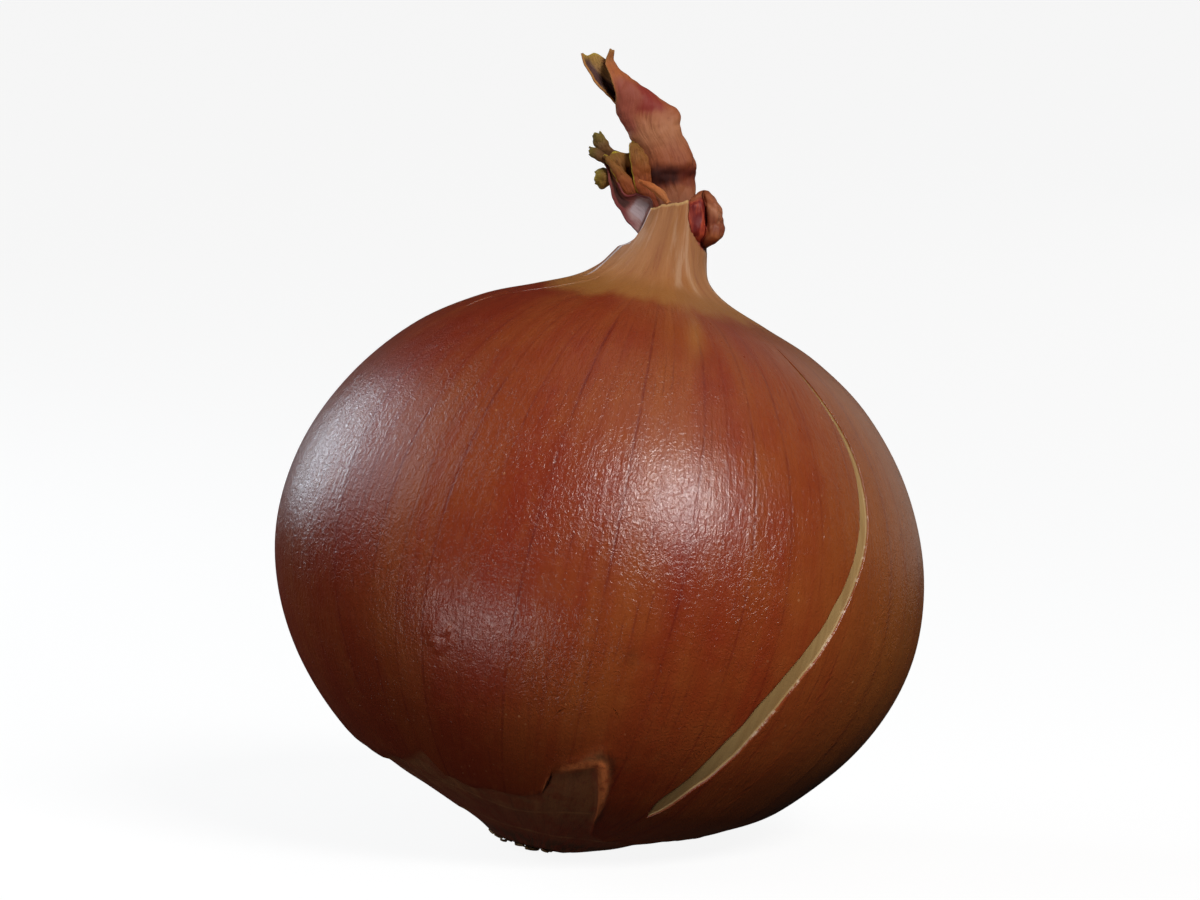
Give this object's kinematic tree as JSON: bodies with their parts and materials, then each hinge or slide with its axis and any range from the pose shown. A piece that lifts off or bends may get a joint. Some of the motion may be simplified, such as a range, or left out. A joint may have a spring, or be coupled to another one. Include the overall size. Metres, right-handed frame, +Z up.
{
  "type": "onion",
  "caption": "Brown-skinned bulb onion with a leaning neck, withered leaf tops, a split in its dry outer skin and a corky root plate.",
  "frame": {"origin": "middle of the onion's box at the surface it rests on", "axes": "+Z up through the leaf tops; the bulb leans to +X; -Y is the side with the long split in the skin"},
  "size_m": [0.0757, 0.0758, 0.093],
  "materials": {
    "onion_skin": "dry, papery and glossy, with darker veins",
    "dry_leaf": "withered, matt to satin",
    "root_cork": "corky and fibrous"
  },
  "bodies": {
    "root": {"bulb": "onion_skin", "dry_leaf_tops": "dry_leaf", "root_plate": "root_cork"}
  },
  "joints": []
}
